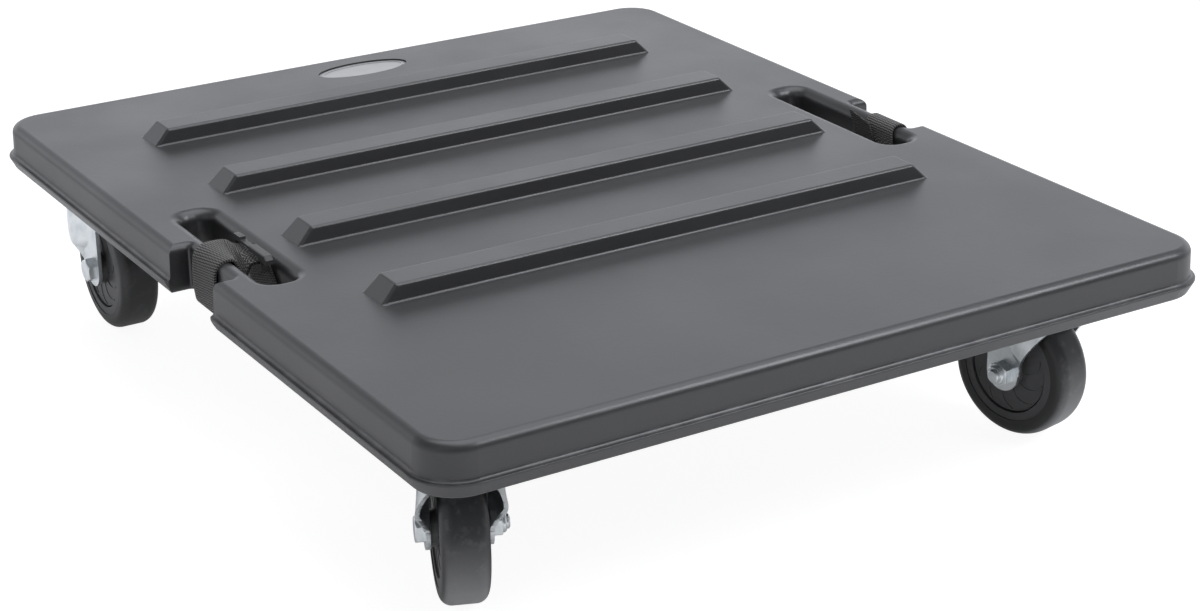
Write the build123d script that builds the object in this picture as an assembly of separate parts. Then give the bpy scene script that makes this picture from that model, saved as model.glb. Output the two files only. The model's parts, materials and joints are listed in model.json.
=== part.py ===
from build123d import *
import os

# A four-caster platform for rolling cases: a hollow-moulded deck with load ribs, a strap slot in each side
# and four plate casters below. Millimetres, Z up, Y to the back, origin on the floor under the deck's middle.

# Deck moulding
deck_width = 610.0
deck_depth = 735.6
deck_thickness = 35.8
deck_corner = 29.6
deck_top_round = 6.6
wall_draft = 2.2
rim_out = 3.6
ledge_drop = 24.2
ledge_fall = 0.6
ledge_root = 2.5
lip_height = 1.2
lip_round = 0.5
belly_in = 5.0
belly_round = 3.5
cut_over = 1.0
channel_width = 18.0
channel_depth = 12.0
channel_short = 50.0
channel_draft = 8.0

# Load ribs on the deck
rib_count = 4
rib_pitch = 128.0
rib_end_gap = 22.5
rib_width = 30.0
rib_height = 12.0
rib_end_slope = 12.0
rib_side_slope = 2.3
rib_round = 2.4
rib_root = 2.0
rib_back_inset = 120.8

# Strap slots, with the notch outside each one and the bar left between them
notch_depth = 16.0
slot_width = 25.0
slot_length = 155.0
slot_centre_y = 4.0
slot_corner = 10.0
slot_top_round = 8.0
slot_bottom_round = 6.0
bar_width = 14.0
notch_length = 75.0
notch_centre_y = -12.5
notch_corner = 2.0
notch_round = 5.5
notch_mouth_round = 3.0

# Oval badge plate and its recess
badge_length = 81.0
badge_width = 35.0
badge_thickness = 1.6
badge_recess = 3.0
badge_gap = 0.3
badge_inset = 39.8
badge_border = 2.0
badge_border_inset = 2.5
badge_border_height = 0.4

# Webbing and buckle
webbing_width = 38.0
webbing_thickness = 1.8
webbing_gap = 0.4
webbing_seat = 0.3
webbing_slack = 5.0
webbing_corner = 6.0
left_strap_y = -5.0
right_strap_y = -27.0
flap_shift = 11.0
flap_height = 32.0
flap_above = 4.5
strand_lap = 6.0
strand_near = [(-0.5, 0.6), (5.5, -17.0), (10.5, -5.0)]
strand_far = [(-0.5, 2.2), (8.5, 1.6), (13.5, -2.6)]
strand_turn = 10.0
tail_near = (-14.0, -21.0)
tail_far = (-8.0, -33.0)
strand_bend = 2.0
eye_drop = 5.0
buckle_width = 62.0
buckle_thickness = 5.0
buckle_block_thickness = 6.5
buckle_block_depth = 6.2
buckle_y = -7.0
buckle_above = 3.8
buckle_wall_gap = 3.0
buckle_eye_height = 6.0
buckle_eye_side = 1.5
buckle_bar = 4.5
buckle_post = 2.0
buckle_dip_from = -10.0
buckle_dip_length = 17.6
buckle_dip_depth = 2.0
buckle_tip_length = 9.0
buckle_tip_drop = 3.5
buckle_tip_depth = 6.0
buckle_tail_slope = 3.0
buckle_edge = 1.0

# Caster places and headings: the direction in which each wheel trails, in degrees from X
caster_side_inset = 62.0
caster_front_inset = 84.5
caster_back_inset = 42.5
trail_headings = {"front_left": 68.3, "front_right": 101.5, "rear_left": 270.0, "rear_right": 242.0}
nut_sides = {"front_left": 1, "front_right": -1, "rear_left": -1, "rear_right": -1}

# Caster head
caster_height = 130.2
trail = 28.5
plate_length = 92.0
plate_width = 64.0
plate_thickness = 3.0
plate_corner = 8.0
plate_hole = 9.0
plate_hole_end = 8.5
plate_hole_side = 9.5
dish_depth = 2.8
dish_slope = 4.0
dish_gap = 0.6
kingpin_radius = 6.0
kingpin_head_radius = 11.0
kingpin_head_height = 2.6
kingpin_foot_radius = 10.0
kingpin_foot_height = 4.0
fit = 0.05
ball_gap = 0.2
upper_ball = 6.0
upper_ball_ring = 24.0
upper_ball_count = 10
lower_ball = 5.0
lower_ball_ring = 12.0
lower_ball_count = 8
head_gap = 0.8
cup_radius = 17.0
cup_thickness = 2.5
cup_lip_height = 4.0
cup_lip_width = 1.8

# Fork
fork_sheet = 3.0
crown_radius = 32.0
crown_hole = 8.0
crown_round = 5.0
crown_round_share = 0.9
waist_radius = 26.0
neck_top = 74.0
neck_low = 60.0
leg_boss = 14.0
leg_side_gap = 0.5
heel_height = 92.0
heel_slope_top = 14.0
brow_height = 107.0
brow_reach = 33.0
brow_curve_forward = 1.0
brow_curve_height = 77.0
axle_hole_gap = 0.25

# Wheel
wheel_diameter = 101.6
tyre_width = 31.8
tyre_shoulder = 8.0
rim_radius = 39.0
rim_step = 0.6
groove_outer = 33.0
groove_width = 1.2
groove_depth = 4.5
disc_inset = 1.4
hub_width = 37.0
boss_radius = 12.0
boss_flare = 1.0
vane_count = 10
vane_width = 1.2
vane_height = 0.4
vane_sweep = 28.0
sleeve_radius = 8.0

# Axle bolt and nut
axle_radius = 5.0
axle_head_flats = 17.0
axle_head_height = 6.4
axle_nut_height = 6.5
axle_collar_height = 2.5
axle_collar_radius = 7.2
axle_end = 2.5
axle_chamfer = 1.0

# Caster plate bolts
bolt_radius = 4.0
bolt_flats = 13.0
bolt_head = 5.3
bolt_grip = 14.0
washer_radius = 8.0
washer_thickness = 1.6
insert_radius = 6.0
insert_length = 16.0

# Levels and places that follow
deck_bottom = caster_height
deck_top = deck_bottom + deck_thickness
axle_height = wheel_diameter / 2
plate_under = caster_height - plate_thickness
dish_under = plate_under - dish_depth
crown_top = dish_under - head_gap
crown_under = crown_top - fork_sheet
upper_ball_z = (plate_under + crown_top) / 2
lower_ball_z = crown_under - ball_gap - lower_ball / 2
cup_top = lower_ball_z - lower_ball / 2
cup_under = cup_top - cup_thickness
hub_half = hub_width / 2
leg_inner = hub_half + leg_side_gap
leg_outer = leg_inner + fork_sheet
bar_outer_x = deck_width / 2 - notch_depth
slot_outer_x = bar_outer_x - bar_width
slot_inner_x = slot_outer_x - slot_width
rib_length = 2 * (slot_inner_x - rib_end_gap)
rear_rib_y = deck_depth / 2 - rib_back_inset
badge_y = deck_depth / 2 - badge_inset
caster_x = deck_width / 2 - caster_side_inset
front_caster_y = caster_front_inset - deck_depth / 2
rear_caster_y = deck_depth / 2 - caster_back_inset
bolt_spacing_x = plate_length - 2 * plate_hole_end
bolt_spacing_y = plate_width - 2 * plate_hole_side
beyond = 40.0
sides = {"left": -1, "right": 1}
caster_places = {
    "front_left": (-caster_x, front_caster_y),
    "front_right": (caster_x, front_caster_y),
    "rear_left": (-caster_x, rear_caster_y),
    "rear_right": (caster_x, rear_caster_y),
}
bolt_places = [
    (x + i * bolt_spacing_x / 2, y + j * bolt_spacing_y / 2)
    for x, y in caster_places.values()
    for i in (-1, 1)
    for j in (-1, 1)
]


def turned_up(points):
    # Closed outline of (radius, height) turned about the vertical axis
    face = make_face(Plane.XZ * Polyline(*points, close=True))
    return revolve(face, Axis.Z)


def turned_across(points):
    # Closed outline of (place along the axle, radius) turned about the axle
    face = make_face(Polyline(*points, close=True))
    return revolve(face, Axis.X)


def prism(sketch, low, high):
    return extrude(Plane.XY.offset(low) * sketch, high - low)


def hexagon_bolt_head(flats, height):
    # Hexagon with the corners turned off its free end at about 30 degrees
    blank = extrude(RegularPolygon(flats / 2, 6, major_radius=False), height)
    edge = flats / 2 * 0.95
    corner = flats / 2 * 1.16
    drop = (corner - edge) * 0.58
    return blank & turned_up([(0, 0), (corner, 0), (corner, height - drop), (edge, height), (0, height)])


# Deck

def flared_cut(x, y, size_x, size_y, corner, top_round, bottom_round):
    # A through cut whose mouths are rounded over at the deck's top and bottom faces
    outline = Pos(x, y) * RectangleRounded(size_x, size_y, corner)
    margin = 2 * max(top_round, bottom_round)
    spread = Pos(x, y) * Rectangle(size_x + 2 * margin, size_y + 2 * margin)
    cutter = prism(outline, deck_bottom - beyond, deck_top + beyond)
    for level, away, radius in ((deck_top, 1, top_round), (deck_bottom, -1, bottom_round)):
        low, high = sorted((level, level + away * beyond))
        cutter = cutter + prism(spread, low, high)
        boundary = Plane.XY.offset(level) * outline.wire()
        meeting = cutter.edges().filter_by_position(Axis.Z, level, level)
        cutter = fillet([e for e in meeting if boundary.distance_to(e @ 0.5) < 1e-3], radius)
    return cutter


def slot_cut(side):
    x = side * (slot_inner_x + slot_width / 2)
    return flared_cut(x, slot_centre_y, slot_width, slot_length, slot_corner, slot_top_round, slot_bottom_round)


def notch_cut(side):
    # Open outwards, with the upright corners at its mouth rounded too
    reach = deck_width / 2 + beyond - bar_outer_x
    x = side * (bar_outer_x + reach / 2)
    pocket = flared_cut(x, notch_centre_y, reach, notch_length, notch_corner, notch_round, notch_round)
    mouth_x = deck_width / 2 + rim_out
    low, high = deck_bottom - cut_over, deck_top + cut_over
    for end in (1, -1):
        arc_x = side * (mouth_x - notch_mouth_round)
        arc_y = notch_centre_y + end * (notch_length / 2 + notch_mouth_round)
        square = Rectangle(2 * notch_mouth_round, 2 * notch_mouth_round)
        corner = Pos(arc_x + side * notch_mouth_round, arc_y - end * notch_mouth_round) * square
        pocket = pocket + prism(corner - Pos(arc_x, arc_y) * Circle(notch_mouth_round), low, high)
    return pocket


def load_rib(y):
    base = Pos(0, y, deck_top) * Rectangle(rib_length, rib_width)
    crest_length = rib_length - 2 * rib_end_slope
    crest_width = rib_width - 2 * rib_side_slope
    crest = Pos(0, y, deck_top + rib_height) * Rectangle(crest_length, crest_width)
    rib = loft([base, crest], ruled=True)
    base_edges = rib.edges().filter_by_position(Axis.Z, deck_top, deck_top)
    return fillet([edge for edge in rib.edges() if edge not in base_edges], rib_round)


def rim_section():
    # Half section of the deck, (distance out from a corner's centre, height): sloping belly, parting lip, wall, top
    out = deck_corner + rim_out
    ledge = deck_top - ledge_drop
    lip_top = ledge - ledge_fall
    lip_low = lip_top - lip_height
    wall_top = Vector(deck_corner, ledge) + Vector(0, ledge_drop).rotate(Axis.Z, wall_draft)
    rounds = [
        ((out - belly_in, deck_bottom), belly_round),
        ((out, lip_low), lip_round),
        ((out, lip_top), lip_round),
        ((deck_corner, ledge), ledge_root),
        ((wall_top.X, deck_top), deck_top_round),
    ]
    corners = [point for point, radius in rounds]
    section = make_face(Polyline((0, deck_bottom), *corners, (0, deck_top), close=True))
    for point, radius in rounds:
        section = fillet(section.vertices().sort_by_distance(point)[0], radius)
    return section


def deck_blank():
    # The section run along each side and turned about each corner, round a plain middle
    half_x = deck_width / 2 - deck_corner
    half_y = deck_depth / 2 - deck_corner
    section = rim_section()
    along_y = Plane(origin=(half_x, half_y, 0), x_dir=(1, 0, 0), z_dir=(0, -1, 0)) * section
    along_x = Plane(origin=(-half_x, half_y, 0), x_dir=(0, 1, 0), z_dir=(1, 0, 0)) * section
    right = extrude(along_y, 2 * half_y)
    back = extrude(along_x, 2 * half_x)
    corner = revolve(along_y, Axis((half_x, half_y, 0), (0, 0, 1)), 90)
    blank = prism(Rectangle(2 * half_x, 2 * half_y), deck_bottom, deck_top)
    blank = blank + right + mirror(right, Plane.YZ)
    blank = blank + back + corner + mirror(corner, Plane.YZ)
    front = back + corner + mirror(corner, Plane.YZ)
    return blank + mirror(front, Plane.XZ)


def deck():
    rib_places = [rear_rib_y - i * rib_pitch for i in range(rib_count)]
    body = deck_blank()
    for side in sides.values():
        body = body - slot_cut(side) - notch_cut(side)
    for y in rib_places:
        body = body + load_rib(y)
    reach = rib_length / 2 + cut_over
    roots = body.edges().filter_by_position(Axis.Z, deck_top, deck_top).filter_by_position(Axis.X, -reach, reach)
    roots = [edge for edge in roots if min(abs((edge @ 0.5).Y - y) for y in rib_places) < rib_width / 2 + cut_over]
    body = fillet(roots, rib_root)
    recess = Pos(0, badge_y) * Ellipse(badge_length / 2, badge_width / 2)
    body = body - prism(recess, deck_top - badge_recess, deck_top + cut_over)
    for y in rib_places:
        channel = Plane.XY.offset(deck_bottom) * Pos(0, y) * SlotOverall(rib_length - channel_short, channel_width)
        body = body - extrude(channel, channel_depth, taper=channel_draft)
    pockets = [Pos(x, y) * Circle(insert_radius) for x, y in bolt_places]
    return body - prism(Sketch() + pockets, deck_bottom, deck_bottom + insert_length)


def badge_plate():
    def oval(inset):
        return Pos(0, badge_y) * Ellipse(badge_length / 2 - inset, badge_width / 2 - inset)

    floor = deck_top - badge_recess
    face = floor + badge_thickness
    border = oval(badge_border_inset) - oval(badge_border_inset + badge_border)
    return prism(oval(badge_gap), floor, face) + prism(border, face, face + badge_border_height)


# Webbing and buckle

def webbing_loop(side, y):
    # Closed loop round the slot's bar, hanging a little slack below it
    inner_width = bar_width + 2 * webbing_gap
    inner_height = deck_thickness + 2 * webbing_gap + webbing_slack
    middle_x = slot_outer_x + bar_width / 2
    middle_z = deck_top + webbing_gap - inner_height / 2
    hole = RectangleRounded(inner_width, inner_height, webbing_corner)
    outer = RectangleRounded(
        inner_width + 2 * webbing_thickness,
        inner_height + 2 * webbing_thickness,
        webbing_corner + webbing_thickness,
    )
    band = Plane.XZ * (outer - hole)
    return Pos(side * middle_x, y, middle_z) * extrude(band, webbing_width / 2, both=True)


def strand_section(route, y):
    # One edge of the strand: from the loop's crest, (inwards, upwards) through the route, to the eye and the wall
    crest = (slot_outer_x + strand_lap, deck_top + webbing_gap + webbing_thickness / 2)
    wall_x = slot_inner_x + webbing_gap + webbing_thickness / 2
    middle = [(slot_outer_x - inwards, deck_top + upwards) for inwards, upwards in route]
    end = [(wall_x, deck_top - eye_drop), (wall_x, deck_top - strand_turn)]
    path = FilletPolyline(crest, *middle, *end, radius=strand_bend)
    return Plane(origin=(0, y, 0), x_dir=(1, 0, 0), z_dir=(0, -1, 0)) * trace(path, webbing_thickness)


def left_strap():
    # The loop, and the strand sewn to it, which sags at its near edge and is drawn tight at its far one
    near_y = left_strap_y - webbing_width / 2
    far_y = left_strap_y + webbing_width / 2
    strand = loft([strand_section(strand_near, near_y), strand_section(strand_far, far_y)], ruled=True)
    # Past the eye its tail leans forward along the slot's wall
    turn = deck_top - eye_drop - strand_bend
    near_end = Vector(near_y, deck_top) + Vector(tail_near)
    far_end = Vector(far_y, deck_top) + Vector(tail_far)
    tail = make_face(Polyline((near_y, turn), (far_y, turn), far_end, near_end, close=True))
    strand = strand + extrude(Plane.YZ.offset(slot_inner_x + webbing_gap) * tail, webbing_thickness)
    return webbing_loop(sides["left"], left_strap_y) + mirror(strand, Plane.YZ)


def right_strap():
    # The loop, with the strap's sewn end standing beside it in the slot
    flap_x = slot_outer_x - webbing_gap - 1.5 * webbing_thickness
    flap_z = deck_top + flap_above - flap_height / 2
    flap = Box(webbing_thickness, webbing_width, flap_height)
    flap = fillet(flap.edges().filter_by(Axis.X), webbing_thickness)
    loop = webbing_loop(sides["right"], right_strap_y)
    return loop + Pos(flap_x, right_strap_y + flap_shift, flap_z) * flap


def left_buckle():
    # Upright strap buckle: a shaped top bar, past both posts of the eye that the strand goes through
    top = deck_top + buckle_above
    eye_length = webbing_width + 2 * buckle_eye_side
    sewn_eye = deck_top - eye_drop - webbing_thickness / 2 - webbing_seat
    bottom = sewn_eye - buckle_bar
    far = buckle_y + buckle_width / 2
    near = buckle_y - buckle_width / 2
    post_far = left_strap_y + eye_length / 2 + buckle_post
    post_near = left_strap_y - eye_length / 2 - buckle_post
    block_low = top - buckle_block_depth
    dip = top - buckle_dip_depth
    dip_far = buckle_dip_from + buckle_dip_length
    outline = make_face([
        Polyline(
            (far, top - buckle_tip_drop),
            (post_far, top - buckle_tip_depth),
            (post_far, bottom),
            (post_near, bottom),
            (post_near, block_low),
            (near, block_low),
            (near, top - buckle_tail_slope),
            (near + buckle_tail_slope, top),
            (buckle_dip_from, top),
            (buckle_dip_from, dip),
            (dip_far, dip),
            (dip_far, top),
            (far - buckle_tip_length, top),
        ),
        TangentArc((far - buckle_tip_length, top), (far, top - buckle_tip_drop), tangent=(1, 0)),
    ])
    eye = RectangleRounded(eye_length, buckle_eye_height, buckle_eye_side)
    outline = outline - Pos(left_strap_y, sewn_eye + buckle_eye_height / 2) * eye
    block_size = Rectangle(buckle_dip_from - near, buckle_block_depth)
    block = outline & Pos((near + buckle_dip_from) / 2, top - buckle_block_depth / 2) * block_size
    buckle = extrude(Plane.YZ * outline, buckle_thickness) + extrude(Plane.YZ * block, buckle_block_thickness)
    faces = buckle.faces().filter_by(Axis.X)
    eye_roof = sewn_eye + buckle_eye_height
    rims = [edge for face in faces for edge in face.edges() if edge.center().Z > eye_roof + fit]
    inner_x = buckle_thickness + buckle_edge / 2
    rims = [edge for edge in rims if not buckle_edge < edge.center().X < inner_x]
    buckle = fillet(rims, buckle_edge)
    return mirror(Pos(slot_inner_x + buckle_wall_gap, 0, 0) * buckle, Plane.YZ)


# Caster head, fixed to the deck

def plate_hole_places():
    return GridLocations(bolt_spacing_x, bolt_spacing_y, 2, 2)


def top_plate():
    floor_radius = kingpin_head_radius + dish_gap
    mouth_radius = floor_radius + dish_slope
    flare = plate_thickness / 2
    sheet = RectangleRounded(plate_length, plate_width, plate_corner) - Circle(mouth_radius + flare)
    sheet = sheet - [place * Circle(plate_hole / 2) for place in plate_hole_places()]
    bore = kingpin_radius + fit
    dish = turned_up([
        (bore, dish_under),
        (floor_radius + flare, dish_under),
        (mouth_radius + flare, plate_under),
        (mouth_radius + flare, caster_height),
        (mouth_radius, caster_height),
        (floor_radius, dish_under + plate_thickness),
        (bore, dish_under + plate_thickness),
    ])
    race = Pos(0, 0, upper_ball_z) * Torus(upper_ball_ring, upper_ball / 2 + ball_gap)
    return prism(sheet, plate_under, caster_height) + dish - race


def kingpin():
    head = dish_under + plate_thickness
    tip = head + kingpin_head_height
    foot = cup_under - kingpin_foot_height
    flat = kingpin_radius * 0.8
    return turned_up([
        (0, foot),
        (flat, foot),
        (kingpin_foot_radius, foot + kingpin_foot_height / 2),
        (kingpin_foot_radius, cup_under),
        (kingpin_radius, cup_under),
        (kingpin_radius, head),
        (kingpin_head_radius, head),
        (kingpin_head_radius, head + kingpin_head_height / 2),
        (flat, tip),
        (0, tip),
    ])


def lower_cup():
    bore = kingpin_radius + fit
    cup = turned_up([
        (bore, cup_under),
        (cup_radius, cup_under),
        (cup_radius, cup_top + cup_lip_height),
        (cup_radius - cup_lip_width, cup_top + cup_lip_height),
        (cup_radius - cup_lip_width, cup_top),
        (bore, cup_top),
    ])
    race = Pos(0, 0, lower_ball_z) * Torus(lower_ball_ring, lower_ball / 2 + ball_gap)
    return cup - race


def ball_ring(diameter, ring, count, height):
    spots = PolarLocations(ring, count)
    return Compound([Pos(0, 0, height) * spot * Sphere(diameter / 2) for spot in spots])


# Fork, which swivels

def fork_envelope(inset):
    # Cup turned about the swivel axis, wider at the crown than at its waist, and flat cheeks behind it
    top = crown_top - inset
    crown = crown_radius - inset
    waist = waist_radius - inset
    bend = ((crown_radius - waist_radius) ** 2 + (neck_top - neck_low) ** 2) / 4 / (crown_radius - waist_radius)
    upper = Vector(crown_radius - bend, neck_top)
    lower = Vector(waist_radius + bend, neck_low)
    meeting = upper + (lower - upper).normalized() * (bend - inset)
    edge = crown_round - inset * crown_round_share
    cup = make_face([
        Polyline((crown - edge, top), (0, top), (0, 0), (waist, 0), (waist, neck_low)),
        TangentArc((waist, neck_low), meeting, tangent=(0, 1)),
        TangentArc((crown, neck_top), meeting, tangent=(0, -1)),
        Line((crown, neck_top), (crown, top - edge)),
        TangentArc((crown, top - edge), (crown - edge, top), tangent=(0, 1)),
    ])
    back = trail + leg_boss + beyond
    cheeks = Pos(0, back / 2) * Rectangle(2 * (leg_outer - inset), back)
    return revolve(Plane.XZ * cup, Axis.Z) + prism(cheeks, 0, top)


def leg_outline():
    # Side view of the fork, (place along the trail, height): boss at the axle, straight heel, curved brow
    heel = trail + leg_boss
    brow = (-brow_reach, brow_height)
    chin = (trail - leg_boss, axle_height)
    above = crown_top + cut_over
    edges = [
        Line(chin, (heel, axle_height)),
        Line((heel, axle_height), (heel, heel_height)),
        Polyline((heel, heel_height), (heel_slope_top, above), (-brow_reach, above), brow),
        ThreePointArc(brow, (brow_curve_forward, brow_curve_height), chin),
    ]
    return make_face(edges) + Pos(trail, axle_height) * Circle(leg_boss)


def fork():
    sheet = fork_envelope(0) - fork_envelope(fork_sheet)
    sheet = sheet & extrude(Plane.YZ * leg_outline(), crown_radius + cut_over, both=True)
    race = Pos(0, 0, upper_ball_z) * Torus(upper_ball_ring, upper_ball / 2 + ball_gap)
    hole = prism(Circle(crown_hole), crown_under - cut_over, crown_top + cut_over)
    axle = Pos(0, trail, axle_height) * Rot(0, 90, 0) * Cylinder(axle_radius + axle_hole_gap, 4 * leg_outer)
    return sheet - race - hole - axle


# Wheel and axle: built about the origin with the axle along X

def hub():
    rim_face = tyre_width / 2 - rim_step
    disc_face = rim_face - disc_inset
    groove_inner = groove_outer - groove_width
    bore = sleeve_radius + fit
    half = [
        (hub_half, bore),
        (hub_half, boss_radius),
        (disc_face, boss_radius + boss_flare),
        (disc_face, groove_inner),
        (rim_face - groove_depth, groove_inner),
        (rim_face - groove_depth, groove_outer),
        (rim_face, groove_outer),
        (rim_face, rim_radius),
    ]
    other = [(-x, r) for x, r in reversed(half)]
    wheel = turned_across(half + other)
    start = Vector(boss_radius, 0)
    end = Vector(groove_inner - vane_width, 0).rotate(Axis.Z, vane_sweep)
    middle = Vector((boss_radius + groove_inner) / 2, 0).rotate(Axis.Z, vane_sweep * 0.2)
    vane = trace(ThreePointArc(start, middle, end), vane_width)
    vanes = Sketch() + [place * vane for place in PolarLocations(0, vane_count)]
    for way in (1, -1):
        face = Plane(origin=(way * disc_face, 0, 0), x_dir=(0, 1, 0), z_dir=(way, 0, 0))
        wheel = wheel + extrude(face * vanes, vane_height)
    return wheel


def tyre():
    half = tyre_width / 2
    tread = wheel_diameter / 2
    section = make_face([
        Line((-half, rim_radius), (half, rim_radius)),
        Line((half, rim_radius), (half, tread - tyre_shoulder)),
        JernArc((half, tread - tyre_shoulder), (0, 1), tyre_shoulder, 90),
        Line((half - tyre_shoulder, tread), (tyre_shoulder - half, tread)),
        JernArc((tyre_shoulder - half, tread), (-1, 0), tyre_shoulder, 90),
        Line((-half, tread - tyre_shoulder), (-half, rim_radius)),
    ])
    return revolve(section, Axis.X)


def axle_sleeve():
    return turned_across([
        (-leg_inner, axle_radius + fit),
        (leg_inner, axle_radius + fit),
        (leg_inner, sleeve_radius),
        (-leg_inner, sleeve_radius),
    ])


def axle_bolt(nut_side):
    end = leg_outer + axle_nut_height + axle_collar_height + axle_end
    shank = turned_across([
        (-leg_outer, 0),
        (end, 0),
        (end, axle_radius - axle_chamfer),
        (end - axle_chamfer, axle_radius),
        (-leg_outer, axle_radius),
    ])
    head = Pos(-leg_outer, 0, 0) * Rot(0, -90, 0) * hexagon_bolt_head(axle_head_flats, axle_head_height)
    bolt = shank + head
    return bolt if nut_side > 0 else mirror(bolt, Plane.YZ)


def axle_nut(nut_side):
    seat = leg_outer
    shoulder = seat + axle_nut_height
    rim = shoulder + axle_collar_height
    bore = axle_radius + fit
    hexagon = Pos(seat, 0, 0) * Rot(0, 90, 0) * hexagon_bolt_head(axle_head_flats, axle_nut_height)
    collar = turned_across([
        (seat, 0),
        (rim, 0),
        (rim, axle_collar_radius - axle_chamfer),
        (rim - axle_chamfer, axle_collar_radius),
        (seat, axle_collar_radius),
    ])
    hole = turned_across([(seat - cut_over, 0), (rim + cut_over, 0), (rim + cut_over, bore), (seat - cut_over, bore)])
    nut = hexagon + collar - hole
    return nut if nut_side > 0 else mirror(nut, Plane.YZ)


# Plate bolts, one group for the whole platform

def plate_bolt():
    seat = plate_under - washer_thickness
    head = Pos(0, 0, seat) * Rot(180, 0, 0) * hexagon_bolt_head(bolt_flats, bolt_head)
    return head + prism(Circle(bolt_radius), seat, caster_height + bolt_grip)


def plate_washer():
    return prism(Circle(washer_radius) - Circle(bolt_radius + fit), plate_under - washer_thickness, plate_under)


def deck_insert():
    return prism(Circle(insert_radius) - Circle(bolt_radius + fit), deck_bottom, deck_bottom + insert_length)


def at_every_bolt(piece):
    return Compound([Pos(x, y, 0) * piece for x, y in bolt_places])


# Assembly

pieces = {
    "deck": deck(),
    "badge_plate": badge_plate(),
    "left_strap": left_strap(),
    "left_buckle": left_buckle(),
    "right_strap": right_strap(),
    "plate_bolts": at_every_bolt(plate_bolt()),
    "plate_washers": at_every_bolt(plate_washer()),
    "deck_inserts": at_every_bolt(deck_insert()),
}
head_pieces = {"top_plate": top_plate(), "kingpin": kingpin(), "lower_cup": lower_cup()}
fork_piece = fork()
upper_balls = ball_ring(upper_ball, upper_ball_ring, upper_ball_count, upper_ball_z)
lower_balls = ball_ring(lower_ball, lower_ball_ring, lower_ball_count, lower_ball_z)
wheel_pieces = {"wheel_hub": hub(), "tyre": tyre(), "axle_sleeve": axle_sleeve()}
for corner, (x, y) in caster_places.items():
    stand = Pos(x, y, 0)
    swivel = stand * Rot(0, 0, trail_headings[corner] - 90)
    axle = swivel * Pos(0, trail, axle_height)
    for name, piece in head_pieces.items():
        pieces[f"{corner}_{name}"] = stand * piece
    pieces[f"{corner}_upper_balls"] = swivel * upper_balls
    pieces[f"{corner}_lower_balls"] = swivel * lower_balls
    pieces[f"{corner}_fork"] = swivel * fork_piece
    for name, piece in wheel_pieces.items():
        pieces[f"{corner}_{name}"] = axle * piece
    pieces[f"{corner}_axle_bolt"] = axle * axle_bolt(nut_sides[corner])
    pieces[f"{corner}_axle_nut"] = axle * axle_nut(nut_sides[corner])

os.makedirs("parts", exist_ok=True)
for name, piece in pieces.items():
    export_step(piece, f"parts/{name}.step")
print(len(pieces), "nodes written")
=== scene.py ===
import bpy
import bmesh
import json
import math
from mathutils import Matrix, Vector


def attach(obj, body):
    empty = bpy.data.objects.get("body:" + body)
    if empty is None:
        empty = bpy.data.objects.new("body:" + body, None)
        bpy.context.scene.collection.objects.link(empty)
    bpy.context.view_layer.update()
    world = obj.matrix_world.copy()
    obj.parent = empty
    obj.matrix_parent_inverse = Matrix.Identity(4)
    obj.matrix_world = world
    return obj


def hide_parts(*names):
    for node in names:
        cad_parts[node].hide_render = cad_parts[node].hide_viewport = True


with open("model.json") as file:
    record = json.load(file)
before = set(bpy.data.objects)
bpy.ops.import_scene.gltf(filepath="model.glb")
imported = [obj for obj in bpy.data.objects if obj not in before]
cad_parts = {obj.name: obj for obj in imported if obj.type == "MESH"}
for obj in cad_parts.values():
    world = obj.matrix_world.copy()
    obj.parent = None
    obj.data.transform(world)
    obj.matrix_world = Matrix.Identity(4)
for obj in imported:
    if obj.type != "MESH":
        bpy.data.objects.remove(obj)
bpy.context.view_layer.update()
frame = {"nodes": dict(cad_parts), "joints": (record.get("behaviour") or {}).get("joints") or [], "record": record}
nodes = frame["nodes"]
slotOf = {part["node"]: part["material_slot"] for part in frame["record"]["subparts"]}
jointOf = {joint["name"]: joint for joint in frame["joints"]}
corners = ["front_left", "front_right", "rear_left", "rear_right"]
perMetre = 1000.0  # webbing routes and fork heights are written in millimetres
print("frame loaded,", len(nodes), "nodes")


class Wire:
    # one socket of a node tree, so that shader maths reads as plain sums
    def __init__(self, tree, socket=None):
        self.tree = tree
        self.socket = socket

    def node(self, kind, settings=None, values=None, output=0):
        made = self.tree.nodes.new("ShaderNode" + kind)
        for name, value in (settings or {}).items():
            setattr(made, name, value)
        for name, value in (values or {}).items():
            if isinstance(value, Wire):
                self.tree.links.new(value.socket, made.inputs[name])
            else:
                made.inputs[name].default_value = value
        return Wire(self.tree, made.outputs[output] if made.outputs else None)

    def sum(self, operation, first, second=0.0):
        return self.node("Math", {"operation": operation}, {0: first, 1: second})

    def __add__(self, other):
        return self.sum("ADD", self, other)

    def __radd__(self, other):
        return self.sum("ADD", other, self)

    def __sub__(self, other):
        return self.sum("SUBTRACT", self, other)

    def __rsub__(self, other):
        return self.sum("SUBTRACT", other, self)

    def __mul__(self, other):
        return self.sum("MULTIPLY", self, other)

    def __rmul__(self, other):
        return self.sum("MULTIPLY", other, self)

    def __truediv__(self, other):
        return self.sum("DIVIDE", self, other)

    def __pow__(self, other):
        return self.sum("POWER", self, other)

    def __abs__(self):
        return self.sum("ABSOLUTE", self)


# shader helpers shared by the finishes

def newFinish(name):
    material = bpy.data.materials.new(name)
    material.use_nodes = True
    tree = material.node_tree
    tree.nodes.clear()
    return material, Wire(tree)


def finishWith(wire, values):
    shader = wire.node("BsdfPrincipled", None, values)
    wire.node("OutputMaterial", None, {"Surface": shader})


def objectPlace(wire):
    return wire.node("TexCoord", None, None, "Object")


def heightOf(wire, place):
    return wire.node("SeparateXYZ", None, {"Vector": place}, "Z")


def noise(wire, place, scale, detail=3.0, roughness=0.55):
    return wire.node("TexNoise", None, {
        "Vector": place, "Scale": scale, "Detail": detail, "Roughness": roughness})


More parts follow.
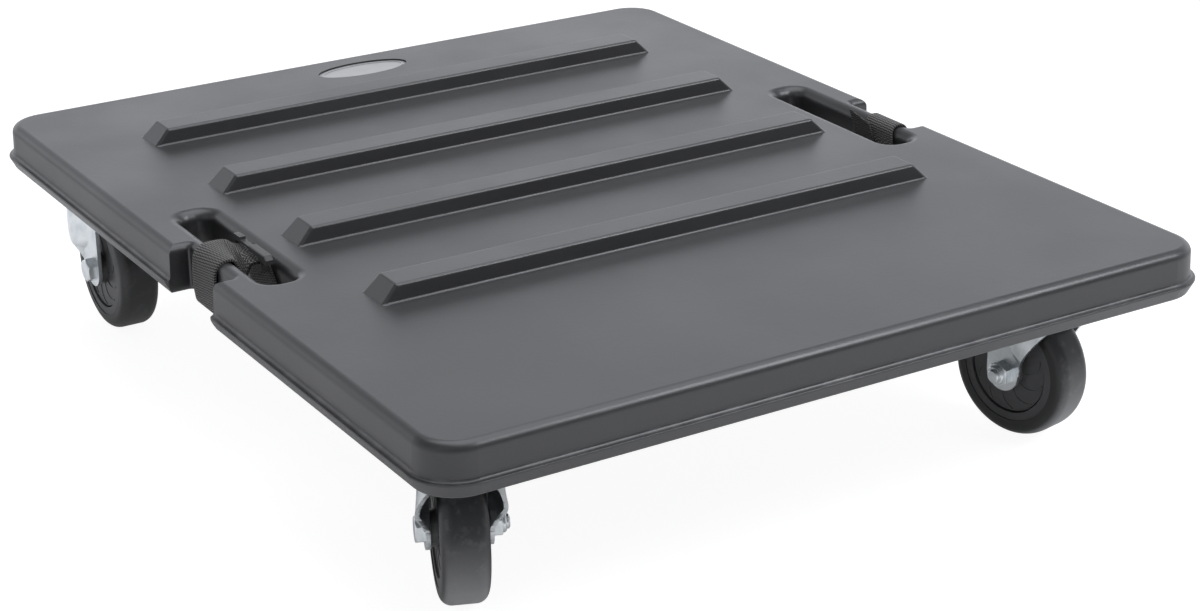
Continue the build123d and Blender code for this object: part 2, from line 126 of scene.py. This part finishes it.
def streaks(wire, place, scales, detail=2.0):  # noise drawn out along one axis
    drawnOut = wire.node("Mapping", None, {"Vector": place, "Scale": scales})
    return noise(wire, drawnOut, 1.0, detail)


def ramp(wire, value, low, high):  # 0 at low to 1 at high, eased
    return wire.node("MapRange", {"interpolation_type": "SMOOTHSTEP"}, {
        "Value": value, "From Min": low, "From Max": high})


def blendColour(wire, share, first, second):
    return wire.node("Mix", {"data_type": "RGBA"}, {0: share, 6: first, 7: second}, 2)


def bumped(wire, height, distance, strength=1.0, under=None):
    values = {"Height": height, "Distance": distance, "Strength": strength}
    if under is not None:
        values["Normal"] = under
    return wire.node("Bump", None, values)


def grey(level, tint=(1.0, 1.0, 1.0)):
    return (level * tint[0], level * tint[1], level * tint[2], 1.0)


# moulded deck: cloudy satin plastic with fine grain, light scuffs and a painted highlight along the parting lip

deckFinish = dict(
    base=0.022, light=0.031, tint=(1.0, 1.01, 1.04), ior=1.5, specular=0.85,
    rough=0.3, cloudRough=0.07, speckRough=0.05,
    cloud=dict(scale=7.0, detail=4.0, roughness=0.6), cloudRange=(0.3, 0.7), cloudShare=0.7,
    speck=dict(scale=420.0, detail=2.0, roughness=0.6), speckRange=(0.4, 0.75), speckShare=0.3,
    scuff=dict(scale=60.0, detail=6.0, roughness=0.75), scuffAndSheenRange=(0.66, 0.78),
    scuffAndSheenShare=0.12, scuffAndSheenColour=0.16,
    # the lip keys paint a highlight: a lighter band at the parting lip's height
    lipHeight=0.1424, lipHalf=0.0006, lipFade=0.0016, lipPaintedHighlight=0.35, lipHighlightColour=0.2,
    lipHighlightBreakup=35.0, lipHighlightBreakupRange=(0.42, 0.68),
    wave=dict(scale=9.0, detail=1.0, roughness=0.4), waveDepth=0.0006,
    pebble=dict(scale=230.0, detail=2.0, roughness=0.5), pebbleDepth=0.00004,
    grain=dict(scale=900.0, detail=3.0, roughness=0.6), grainDepth=0.00004, grainStrength=0.8)


def deckPlastic():
    look = deckFinish
    material, wire = newFinish("deckPlastic")
    place = objectPlace(wire)
    cloud = ramp(wire, noise(wire, place, **look["cloud"]), *look["cloudRange"])
    speck = noise(wire, place, **look["speck"])
    tone = cloud * look["cloudShare"] + ramp(wire, speck, *look["speckRange"]) * look["speckShare"]
    colour = blendColour(wire, tone, grey(look["base"], look["tint"]), grey(look["light"], look["tint"]))
    scuff = ramp(wire, noise(wire, place, **look["scuff"]), *look["scuffAndSheenRange"])
    colour = blendColour(wire, scuff * look["scuffAndSheenShare"], colour, grey(look["scuffAndSheenColour"]))
    # painted highlight: a lighter band along the parting lip, broken into patches by noise
    fromLip = abs(heightOf(wire, place) - look["lipHeight"])
    lipHighlightBand = 1 - ramp(wire, fromLip, look["lipHalf"], look["lipFade"])
    highlightBreakup = ramp(wire, noise(wire, place, look["lipHighlightBreakup"]), *look["lipHighlightBreakupRange"])
    colour = blendColour(wire, lipHighlightBand * highlightBreakup * look["lipPaintedHighlight"], colour, grey(look["lipHighlightColour"]))
    wave, pebble, grain = [noise(wire, place, **look[name]) for name in ("wave", "pebble", "grain")]
    normal = bumped(wire, wave, look["waveDepth"])
    normal = bumped(wire, pebble, look["pebbleDepth"], under=normal)
    normal = bumped(wire, grain, look["grainDepth"], look["grainStrength"], normal)
    rough = look["rough"] + cloud * look["cloudRough"] + speck * look["speckRough"]
    finishWith(wire, {"Base Color": colour, "Roughness": rough, "Normal": normal,
                      "IOR": look["ior"], "Specular IOR Level": look["specular"]})
    return material


# badge plate: bare brushed satin

badgeFinish = dict(colour=0.44, darker=0.9, lighter=1.08, cloud=90.0, metallic=0.35,
                   rough=0.34, brushRough=0.12, brush=(60.0, 2600.0, 300.0), brushDepth=0.00001)


def badgeSatin():
    look = badgeFinish
    material, wire = newFinish("badgeSatin")
    place = objectPlace(wire)
    brushed = streaks(wire, place, look["brush"])
    colour = blendColour(wire, noise(wire, place, look["cloud"]),
                         grey(look["colour"] * look["darker"]), grey(look["colour"] * look["lighter"]))
    finishWith(wire, {"Base Color": colour, "Metallic": look["metallic"],
                      "Roughness": look["rough"] + brushed * look["brushRough"],
                      "Normal": bumped(wire, brushed, look["brushDepth"])})
    return material


# zinc plate on forks, top plates and fasteners

zincFinish = dict(
    colour=(0.90, 0.93, 0.945, 1.0), shade=(0.72, 0.765, 0.78, 1.0),
    rough=0.24, bloomRough=0.12, fineRough=0.06,
    bloom=dict(scale=55.0, detail=4.0, roughness=0.6), bloomRange=(0.35, 0.7),
    fine=dict(scale=900.0, detail=2.0), fineRise=0.4,
    streak=(700.0, 700.0, 45.0), streakRise=0.6, depth=0.00003)


def zincPlate():
    look = zincFinish
    material, wire = newFinish("zincPlate")
    place = objectPlace(wire)
    bloom = noise(wire, place, **look["bloom"])
    fine = noise(wire, place, **look["fine"])
    streak = streaks(wire, place, look["streak"])
    colour = blendColour(wire, ramp(wire, bloom, *look["bloomRange"]), look["colour"], look["shade"])
    rough = look["rough"] + bloom * look["bloomRough"] + fine * look["fineRough"]
    rise = streak * look["streakRise"] + fine * look["fineRise"]
    finishWith(wire, {"Base Color": colour, "Metallic": 1.0, "Roughness": rough,
                      "Normal": bumped(wire, rise, look["depth"])})
    return material


# balls and threaded inserts, inside the part

ballFinish = dict(dark=grey(0.62), light=grey(0.72), haze=400.0, rough=0.12, hazeRough=0.1)
brassFinish = dict(dark=(0.62, 0.46, 0.2, 1.0), light=(0.74, 0.58, 0.3, 1.0),
                   haze=300.0, rough=0.3, hazeRough=0.15)


def hazyMetal(name, look):
    material, wire = newFinish(name)
    haze = noise(wire, objectPlace(wire), look["haze"])
    finishWith(wire, {"Base Color": blendColour(wire, haze, look["dark"], look["light"]),
                      "Metallic": 1.0, "Roughness": look["rough"] + haze * look["hazeRough"]})
    return material


# tyres: dark rubber, its tread greyed by dust and, low down, lighter with scuffs and a painted reflection of the
# floor

rubberFinish = dict(
    base=0.014, tread=0.042, treadRange=(0.0462, 0.0502), specular=0.65,
    rough=0.33, cloudRough=0.1, dustRough=0.3,
    dust=dict(scale=110.0, detail=5.0, roughness=0.7), dustRange=(0.5, 0.8), dustShare=0.5, dustColour=0.2,
    # painted light and scuffs: the tread lighter low down, most on the lit front tyres and least on the shaded
    # rear left one
    scuffAndSheenColour=0.42, scuffAndSheenRange=(0.004, 0.07), scuffAndSheenEven=0.7, scuffAndSheenCloud=0.5,
    scuffAndSheenShare=dict(front_left=0.9, front_right=0.62, rear_left=0.06, rear_right=0.2),
    cloud=dict(scale=40.0, detail=4.0, roughness=0.6), cloudRise=0.4,
    fine=dict(scale=1300.0, detail=2.0), fineRise=0.6, depth=0.00003)


def tyreRubber(corner):
    # one finish for each tyre, because its tread is found from its own axle and its painted floor reflection
    # differs per wheel
    look = rubberFinish
    material, wire = newFinish("tyreRubber_" + corner)
    axle = jointOf[corner + "_wheel_spin"]
    place = objectPlace(wire)
    arm = wire.node("VectorMath", {"operation": "SUBTRACT"}, {0: place, 1: axle["pos_m"]})
    aside = wire.node("VectorMath", {"operation": "DOT_PRODUCT"}, {0: arm, 1: axle["axis"]}, 1)
    reach = wire.node("VectorMath", {"operation": "LENGTH"}, {0: arm}, 1)
    radius = (reach * reach - aside * aside) ** 0.5
    worn = ramp(wire, radius, *look["treadRange"])
    cloud = noise(wire, place, **look["cloud"])
    fine = noise(wire, place, **look["fine"])
    dust = ramp(wire, noise(wire, place, **look["dust"]), *look["dustRange"]) * worn * look["dustShare"]
    # painted reflection and scuffs: the tread lighter towards the floor
    low = 1 - ramp(wire, heightOf(wire, place), *look["scuffAndSheenRange"])
    scuffAndSheen = low * worn * (look["scuffAndSheenEven"] + look["scuffAndSheenCloud"] * cloud)
    colour = blendColour(wire, worn, grey(look["base"]), grey(look["tread"]))
    colour = blendColour(wire, dust, colour, grey(look["dustColour"]))
    colour = blendColour(wire, scuffAndSheen * look["scuffAndSheenShare"][corner], colour, grey(look["scuffAndSheenColour"]))
    rough = look["rough"] + cloud * look["cloudRough"] + dust * look["dustRough"]
    rise = fine * look["fineRise"] + cloud * look["cloudRise"]
    finishWith(wire, {"Base Color": colour, "Roughness": rough, "Specular IOR Level": look["specular"],
                      "Normal": bumped(wire, rise, look["depth"])})
    return material


# wheel hubs and the buckle

hubFinish = dict(dark=0.078, light=0.117, rough=0.36, cloudRough=0.12, depth=0.00002,
                 cloud=dict(scale=60.0, detail=4.0, roughness=0.6), fine=dict(scale=1500.0, detail=2.0))
buckleFinish = dict(dark=0.045, light=0.068, rough=0.36, cloudRough=0.12, depth=0.00003,
                    cloud=dict(scale=120.0), fine=dict(scale=1600.0, detail=2.0))


def satinPlastic(name, look):
    material, wire = newFinish(name)
    place = objectPlace(wire)
    cloud = noise(wire, place, **look["cloud"])
    fine = noise(wire, place, **look["fine"])
    finishWith(wire, {"Base Color": blendColour(wire, cloud, grey(look["dark"]), grey(look["light"])),
                      "Roughness": look["rough"] + cloud * look["cloudRough"],
                      "Normal": bumped(wire, fine, look["depth"])})
    return material


# webbing: fine ribs across the band in offset columns, with painted shade in their grooves and painted highlights
# on their crests, a plain selvage at its edges, and V rows of light stitches where the zone attribute is set

weave = dict(
    dark=0.003, light=0.15, endLight=0.04, tint=(1.05, 1.0, 0.95), toneRange=(0.57, 0.92),
    ribPitch=0.0019, ribSharp=0.8, columnPitch=0.0021, columnSharp=0.6, columnRise=0.4, columnShift=0.15,
    selvage=(0.0165, 0.0188), fuzz=dict(scale=1500.0, detail=3.0, roughness=0.7),
    ribPaintedShade=0.85, fuzzTone=0.35, zoneShade=0.75,
    rowPitch=0.0028, rowRange=(0.55, 0.95), dotPitch=0.0021, dotRange=(0.5, 0.9),
    chevronWidth=0.0076, chevronSlope=1.6, thread=(0.42, 0.41, 0.39, 1.0), threadEven=0.3, threadFuzz=0.7,
    rough=0.72, fuzzRough=0.2, sheen=0.2, sheenRough=0.4,
    zoneFlat=0.6, stitchRise=0.6, fuzzRise=0.25, depth=0.0004, strength=0.9)


def webbingWeave(name, light):
    look = weave
    material, wire = newFinish(name)
    along, across, zone = [wire.node("Attribute", {"attribute_name": key}, None, "Fac")
                           for key in ("along", "across", "zone")]
    fuzz = noise(wire, objectPlace(wire), **look["fuzz"])
    column = across / look["columnPitch"]
    odd = wire.sum("FLOORED_MODULO", wire.sum("FLOOR", column), 2.0)
    ribWave = abs(wire.sum("SINE", (along / look["ribPitch"] + odd * look["columnShift"]) * math.pi))
    columnWave = abs(wire.sum("SINE", column * math.pi)) ** look["columnSharp"]
    height = ribWave ** look["ribSharp"] * (1 - look["columnRise"] + look["columnRise"] * columnWave)
    edge = ramp(wire, abs(across), *look["selvage"])
    height = height * (1 - edge) + edge * ribWave
    chevron = abs(wire.sum("FLOORED_MODULO", across / look["chevronWidth"], 2.0) - 1.0)
    row = along / look["rowPitch"] + chevron * look["chevronSlope"]
    rowWave = ramp(wire, abs(wire.sum("SINE", row * math.pi)), *look["rowRange"])
    dotWave = ramp(wire, abs(wire.sum("SINE", across / look["dotPitch"] * math.pi)), *look["dotRange"])
    stitch = rowWave * dotWave * zone
    # painted shade and highlight: the weave darker in its grooves and lighter on its rib crests, from the rib
    # height
    tone = ramp(wire, height * look["ribPaintedShade"] + fuzz * look["fuzzTone"], *look["toneRange"])
    tone = tone * (1 - look["zoneShade"] * zone)
    colour = blendColour(wire, tone, grey(look["dark"], look["tint"]), grey(light, look["tint"]))
    threadShare = stitch * (look["threadEven"] + look["threadFuzz"] * fuzz)
    colour = blendColour(wire, threadShare, colour, look["thread"])
    rise = height * (1 - look["zoneFlat"] * zone) + stitch * look["stitchRise"] + fuzz * look["fuzzRise"]
    finishWith(wire, {"Base Color": colour, "Roughness": look["rough"] + look["fuzzRough"] * fuzz,
                      "Normal": bumped(wire, rise, look["depth"], look["strength"]),
                      "Sheen Weight": look["sheen"], "Sheen Roughness": look["sheenRough"]})
    return material


finishes = {
    "deck_plastic": deckPlastic(),
    "badge": badgeSatin(),
    "webbing": webbingWeave("webbingWeave", weave["light"]),
    "webbing_end": webbingWeave("webbingEnd", weave["endLight"]),
    "buckle_plastic": satinPlastic("bucklePlastic", buckleFinish),
    "zinc": zincPlate(),
    "ball_steel": hazyMetal("ballSteel", ballFinish),
    "insert_brass": hazyMetal("insertBrass", brassFinish),
    "hub_plastic": satinPlastic("hubPlastic", hubFinish),
}
tyreFinishes = {corner + "_tyre": tyreRubber(corner) for corner in corners}
for name, cadNode in nodes.items():
    cadNode.data.materials.clear()
    cadNode.data.materials.append(tyreFinishes.get(name) or finishes[slotOf[name]])
print("finishes made:", len(finishes) + len(tyreFinishes))


# webbing bands: each lies between two edge routes with the same number of points,
# (x, y, z above the deck's top), with a bend radius at each inner point

band = dict(thick=0.0018, crossSteps=8, bendSteps=7, edgeRound=0.0005, edgeSteps=2, deckTop=0.166)


def newPiece(name, mesh, body, finish):
    piece = bpy.data.objects.new(name, mesh)
    bpy.context.scene.collection.objects.link(piece)
    mesh.materials.append(finishes[finish])
    for face in mesh.polygons:
        face.use_smooth = True
    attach(piece, body)
    return piece


def edgeRow(shape, layers, route, side, bends):
    points = [shape.verts.new((x / perMetre, y / perMetre, band["deckTop"] + z / perMetre))
              for x, y, z in route]
    for first, second in zip(points, points[1:]):
        shape.edges.new((first, second))
    for point, radius in zip(points[1:-1], bends):  # round each corner of the route
        bmesh.ops.bevel(shape, geom=[point], offset=radius / perMetre, offset_type="OFFSET",
                        affect="VERTICES", segments=band["bendSteps"], profile=0.5, material=-1)
    here, last, row, length = points[0], None, [], 0.0
    while here is not None:  # note the length along the route at each point
        here[layers["along"]] = length
        here[layers["across"]] = side
        row.append(here)
        onward = [link.other_vert(here) for link in here.link_edges if link.other_vert(here) is not last]
        last, here = here, (onward[0] if onward else None)
        if here is not None:
            length += (here.co - last.co).length
    return row, length


def layBand(name, near, far, bends, zones=(), finish="webbing"):
    shape = bmesh.new()
    layers = {key: shape.verts.layers.float.new(key) for key in ("along", "across", "zone")}
    nearRow, nearLength = edgeRow(shape, layers, near, -0.5, bends)
    farRow, farLength = edgeRow(shape, layers, far, 0.5, bends)
    print(name, "edges", round(nearLength * perMetre), "and", round(farLength * perMetre), "mm long")
    for left, right, onLeft, onRight in zip(nearRow, farRow, nearRow[1:], farRow[1:]):
        shape.faces.new((left, right, onRight, onLeft))
    rungs = [shape.edges.get(pair) for pair in zip(nearRow, farRow)]
    width = sum(rung.calc_length() for rung in rungs) / len(rungs)
    bmesh.ops.subdivide_edges(shape, edges=rungs, cuts=band["crossSteps"] - 1, use_grid_fill=True)
    for vert in shape.verts:
        here = vert[layers["along"]] * perMetre
        vert[layers["across"]] *= width
        vert[layers["zone"]] = float(any(low <= here <= high for low, high in zones))
    bmesh.ops.recalc_face_normals(shape, faces=shape.faces)
    mesh = bpy.data.meshes.new(name)
    shape.to_mesh(mesh)
    shape.free()
    piece = newPiece(name, mesh, "platform", finish)
    wall = piece.modifiers.new("wall", "SOLIDIFY")
    wall.thickness = band["thick"]
    wall.offset = 0.0
    trim = piece.modifiers.new("selvage", "BEVEL")
    trim.width = band["edgeRound"]
    trim.segments = band["edgeSteps"]
    trim.limit_method = "ANGLE"
    return piece


# left strap: from the slot down under the bar, up outside it and over its top, then across the slot
# and down under the buckle's top bar, slack at the near edge and tight at the far one

leftWebbing = dict(
    near=[(-273.6, -24, -6), (-273.6, -24, -42.1), (-289.8, -24, -42.1), (-292.4, -24, -22),
          (-290.2, -24, 1.6), (-275.6, -24, 1.1), (-269.5, -24, -17), (-264.5, -24, -5),
          (-251.3, -24, -5), (-251.3, -38, -21)],
    far=[(-273.6, 14, 0), (-273.6, 14, -42.1), (-289.8, 14, -42.1), (-292.4, 14, -22),
         (-290.2, 14, 1.6), (-275.6, 14, 2.4), (-266.5, 14, 1.8), (-261.5, 14, -2.6),
         (-251.3, 14, -5), (-251.3, 6, -33)],
    bends=[4, 6, 8, 8.5, 4, 2.5, 2, 2], zones=[(128, 150)])
leftStrap = layBand("leftStrap", **leftWebbing)
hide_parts("left_strap")

# right strap: a loop round the bar that hangs askew, and its sewn end standing beside it

rightWebbing = dict(
    near=[(283.0, -46, -40.2), (290.3, -46, -42.1), (290.3, -46, 1.3), (274.4, -46, 1.3),
          (272.2, -53, -20), (271.0, -53, -38.8), (281.0, -50, -40.8)],
    far=[(283.0, -12, -40.2), (290.3, -12, -42.1), (290.3, -12, 1.3), (274.4, -13, 1.3),
         (272.2, -21, -20), (271.0, -21, -38.8), (281.0, -18, -40.8)],
    bends=[3, 7, 7, 5, 3], zones=[(76, 98)])
rightFlap = dict(
    near=[(269.6, -36, -26), (269.9, -30, -12), (270.6, -23, -1.6)],
    far=[(269.2, -12, -26), (269.4, -6, -12), (270.4, 2.4, 3.8)],
    bends=[4], finish="webbing_end")
rightLoop = layBand("rightLoop", **rightWebbing)
layBand("rightEnd", **rightFlap)
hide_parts("right_strap")
print("webbing laid")


# forks: the pressed cup swells softly above the axle and draws in again at its neck, (height, shift);
# the shift fades out along the trail, from cupEnd to cheekStart

forkCup = dict(
    shifts=[(52, 0), (55, 0.5), (58, 1.4), (61, 2.2), (64, 2.0), (67, 0.7), (70, -0.95), (73, -1.9),
            (76, -2.3), (79, -2.8), (82, -3.4), (86, -4.1), (90, -4.5), (95, -4.4), (100, -3.6),
            (104, -2.4), (108, -1.0), (112, 0)],
    cupEnd=6, cheekStart=20, lastCut=22, cutStep=2, crease=40.0, merge=0.00001, onCut=0.000001)


def cupShift(height):
    for (low, first), (high, second) in zip(forkCup["shifts"], forkCup["shifts"][1:]):
        if low <= height <= high:
            return first + (second - first) * (height - low) / (high - low)
    return 0.0


def softenFork(corner):
    shape = bmesh.new()
    shape.from_mesh(nodes[corner + "_fork"].data)
    bmesh.ops.remove_doubles(shape, verts=shape.verts, dist=forkCup["merge"])
    swivel = Vector(jointOf[corner + "_swivel_turn"]["pos_m"])
    ahead = Vector(jointOf[corner + "_wheel_spin"]["pos_m"]) - swivel
    ahead.z = 0.0
    ahead.normalize()
    up = Vector((0.0, 0.0, 1.0))
    cupEnd, cheekStart = forkCup["cupEnd"], forkCup["cheekStart"]
    reaches = range(cupEnd, forkCup["lastCut"] + 1, forkCup["cutStep"])
    cuts = [(up * height / perMetre, up) for height, shift in forkCup["shifts"]]
    cuts += [(swivel + ahead * reach / perMetre, ahead) for reach in reaches]
    for place, way in cuts:  # rows of points to bend the sheet at
        bmesh.ops.bisect_plane(shape, geom=shape.verts[:] + shape.edges[:] + shape.faces[:],
                               dist=forkCup["onCut"], plane_co=place, plane_no=way)
    for vert in shape.verts:
        arm = vert.co - swivel
        arm.z = 0.0
        share = (cheekStart - arm.dot(ahead) * perMetre) / (cheekStart - cupEnd)
        share = min(max(share, 0.0), 1.0)
        shift = arm.normalized() * cupShift(vert.co.z * perMetre) / perMetre
        vert.co += shift * share * share * (3 - 2 * share)  # eased
    mesh = bpy.data.meshes.new(corner + "_forkCup")
    shape.to_mesh(mesh)
    shape.free()
    piece = newPiece(corner + "_forkCup", mesh, corner + "_swivel", "zinc")
    mesh.set_sharp_from_angle(angle=math.radians(forkCup["crease"]))
    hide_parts(corner + "_fork")


for corner in corners:
    softenFork(corner)
print("forks shaped")


# floor: white to the camera with a faint shadow, and dim in reflections

paleFloor = dict(size=14.0, colour=0.92, lift=4.0, shown=0.92, mirrored=0.2)


def studioFloor():
    shape = bmesh.new()
    bmesh.ops.create_grid(shape, x_segments=1, y_segments=1, size=paleFloor["size"])
    mesh = bpy.data.meshes.new("floor")
    shape.to_mesh(mesh)
    shape.free()
    floor = bpy.data.objects.new("floor", mesh)
    bpy.context.scene.collection.objects.link(floor)
    material, wire = newFinish("paleFloor")
    camera = wire.node("LightPath", None, None, "Is Camera Ray")
    glossy = wire.node("LightPath", None, None, "Is Glossy Ray")
    share = wire.sum("MAXIMUM", camera * paleFloor["shown"], glossy * paleFloor["mirrored"])
    tone = blendColour(wire, camera, grey(paleFloor["colour"]), grey(paleFloor["colour"] * paleFloor["lift"]))
    matt = wire.node("BsdfDiffuse", None, {"Color": tone})
    glow = wire.node("Emission", None, {"Color": grey(1.0), "Strength": 1.0})
    mixed = wire.node("MixShader", None, {0: share, 1: matt, 2: glow})
    wire.node("OutputMaterial", None, {"Surface": mixed})
    mesh.materials.append(material)


# sky: soft fill, a bright backdrop behind the part and a little light from above;
# white to the camera, and pale near the horizon in reflections except behind the camera

coolWhite = (0.965, 0.985, 1.035)  # tint of the sky and the lamps
sky = dict(fill=0.22, backGlow=1.65, backWay=(0.5, 0.83), backRange=(0.05, 0.8), backTop=(0.22, 0.56),
           overhead=0.1, overheadRange=(0.4, 0.95),
           horizon=0.4, horizonTop=(0.2, 0.6), horizonSide=(-0.8, -0.2))


def studioWorld():
    world = bpy.data.worlds.new("studio")
    bpy.context.scene.world = world
    world.use_nodes = True
    world.node_tree.nodes.clear()
    wire = Wire(world.node_tree)
    camera = wire.node("LightPath", None, None, "Is Camera Ray")
    glossy = wire.node("LightPath", None, None, "Is Glossy Ray")
    through = wire.node("LightPath", None, None, "Is Transmission Ray")
    way = wire.node("TexCoord", None, None, "Generated")
    wayX, wayY, wayZ = [wire.node("SeparateXYZ", None, {"Vector": way}, axis) for axis in ("X", "Y", "Z")]
    toBack = wayX * sky["backWay"][0] + wayY * sky["backWay"][1]
    backdrop = ramp(wire, toBack, *sky["backRange"]) * (1 - ramp(wire, wayZ, *sky["backTop"]))
    above = ramp(wire, wayZ, *sky["overheadRange"])
    soft = sky["fill"] + backdrop * sky["backGlow"] + above * sky["overhead"]
    low = (1 - ramp(wire, wayZ, *sky["horizonTop"])) * ramp(wire, wayY, *sky["horizonSide"])
    white = wire.sum("MAXIMUM", wire.sum("MAXIMUM", camera, glossy * low * sky["horizon"]), through)
    strength = soft + white * (1 - soft)
    colour = blendColour(wire, camera, grey(1.0, coolWhite), grey(1.0))
    light = wire.node("Background", None, {"Color": colour, "Strength": strength})
    wire.node("OutputWorld", None, {"Surface": light})


lamps = dict(
    topLamp=dict(place=(0.3, 0.1, 2.5), aim=(0.0, 0.0, 0.1), size=2.6, power=38.0),
    keyLamp=dict(place=(1.35, -1.5, 1.9), aim=(0.0, -0.3, 0.15), size=1.0, power=24.0),
    sideLamp=dict(place=(-2.2, -1.4, 1.6), aim=(0.0, 0.0, 0.1), size=1.6, power=2.0))


def softLamp(name, place, aim, size, power):
    lamp = bpy.data.lights.new(name, "AREA")
    lamp.shape = "SQUARE"
    lamp.size = size
    lamp.energy = power
    lamp.color = coolWhite
    holder = bpy.data.objects.new(name, lamp)
    bpy.context.scene.collection.objects.link(holder)
    turn = (Vector(aim) - Vector(place)).to_track_quat("-Z", "Y").to_matrix().to_4x4()
    holder.matrix_world = Matrix.Translation(Vector(place)) @ turn
    holder.visible_camera = False


view = dict(place=(-0.92478, -1.57291, 0.81866), right=(0.85161, -0.52405, -0.01132),
            up=(0.20978, 0.32097, 0.92356), back=(-0.48036, -0.78889, 0.38328), lens=77.61, sensor=36.0)


def photoCamera():
    lens = bpy.data.cameras.new("camera")
    lens.sensor_fit = "HORIZONTAL"
    lens.sensor_width = view["sensor"]
    lens.lens = view["lens"]
    camera = bpy.data.objects.new("camera", lens)
    bpy.context.scene.collection.objects.link(camera)
    turn = Matrix((view["right"], view["up"], view["back"])).transposed().to_4x4()
    camera.matrix_world = Matrix.Translation(Vector(view["place"])) @ turn
    bpy.context.scene.camera = camera


bpy.context.scene.view_settings.view_transform = "Standard"
studioFloor()
studioWorld()
for name, lamp in lamps.items():
    softLamp(name, **lamp)
photoCamera()
print("studio set")
